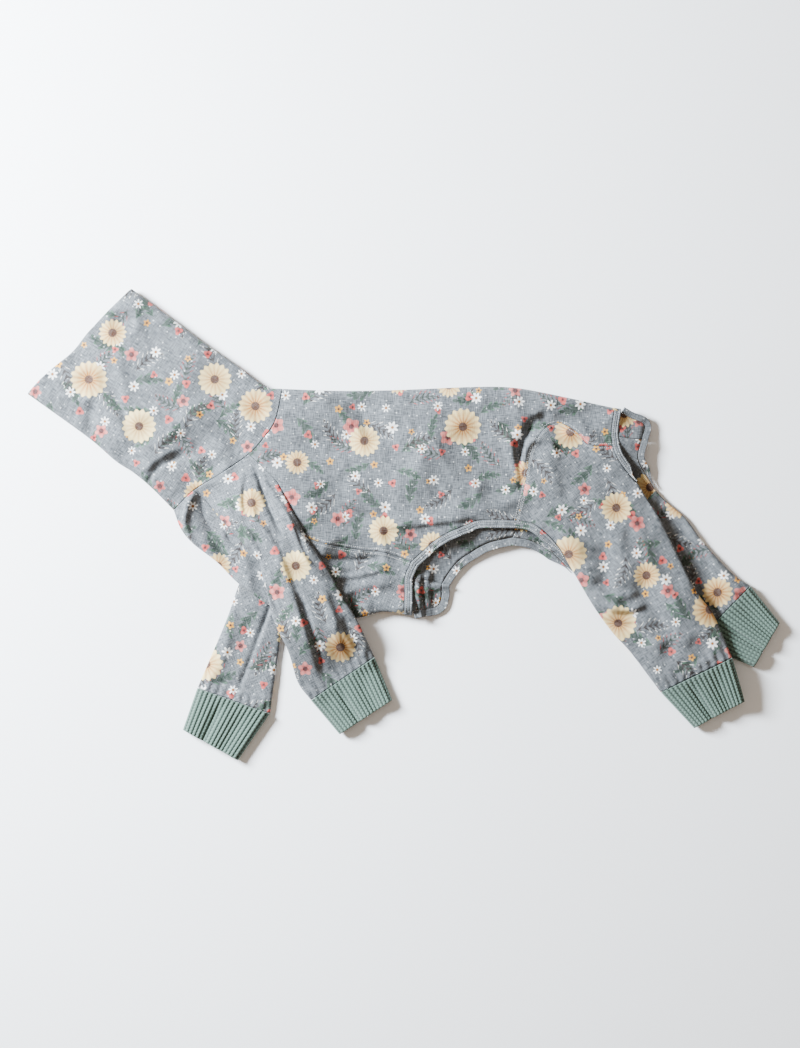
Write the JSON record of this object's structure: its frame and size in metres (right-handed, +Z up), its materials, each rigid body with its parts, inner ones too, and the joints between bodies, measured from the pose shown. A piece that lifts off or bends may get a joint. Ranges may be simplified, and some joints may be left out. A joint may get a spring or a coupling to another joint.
{
  "type": "dog jumpsuit",
  "caption": "Jersey jumpsuit for a slim small dog, laid flat: tall snood neck, open belly and tail edged with sewn bands, raglan sleeves, and ribbed cuffs on all legs",
  "frame": {"origin": "centre of the garment's box on the surface it lies on", "axes": "+X from the head end to the tail end, +Y towards the back edge, +Z up"},
  "size_m": [0.863, 0.5412, 0.0369],
  "materials": {
    "printed_jersey": "heathered grey cotton jersey with a soft floral print",
    "ribbed_cuff": "sage green ribbed waffle knit",
    "binding": "the same grey jersey, folded and twin stitched in white"
  },
  "bodies": {
    "root": {"neck_tube": "printed_jersey", "back_panel": "printed_jersey", "chest_panel": "printed_jersey", "front_sleeve_left": "printed_jersey", "front_sleeve_right": "printed_jersey", "hind_leg_left": "printed_jersey", "hind_leg_right": "printed_jersey", "front_cuff_left": "ribbed_cuff", "front_cuff_right": "ribbed_cuff", "hind_cuff_left": "ribbed_cuff", "hind_cuff_right": "ribbed_cuff", "belly_binding_left": "binding", "belly_binding_right": "binding", "tail_binding_left": "binding", "tail_binding_right": "binding"}
  },
  "joints": []
}
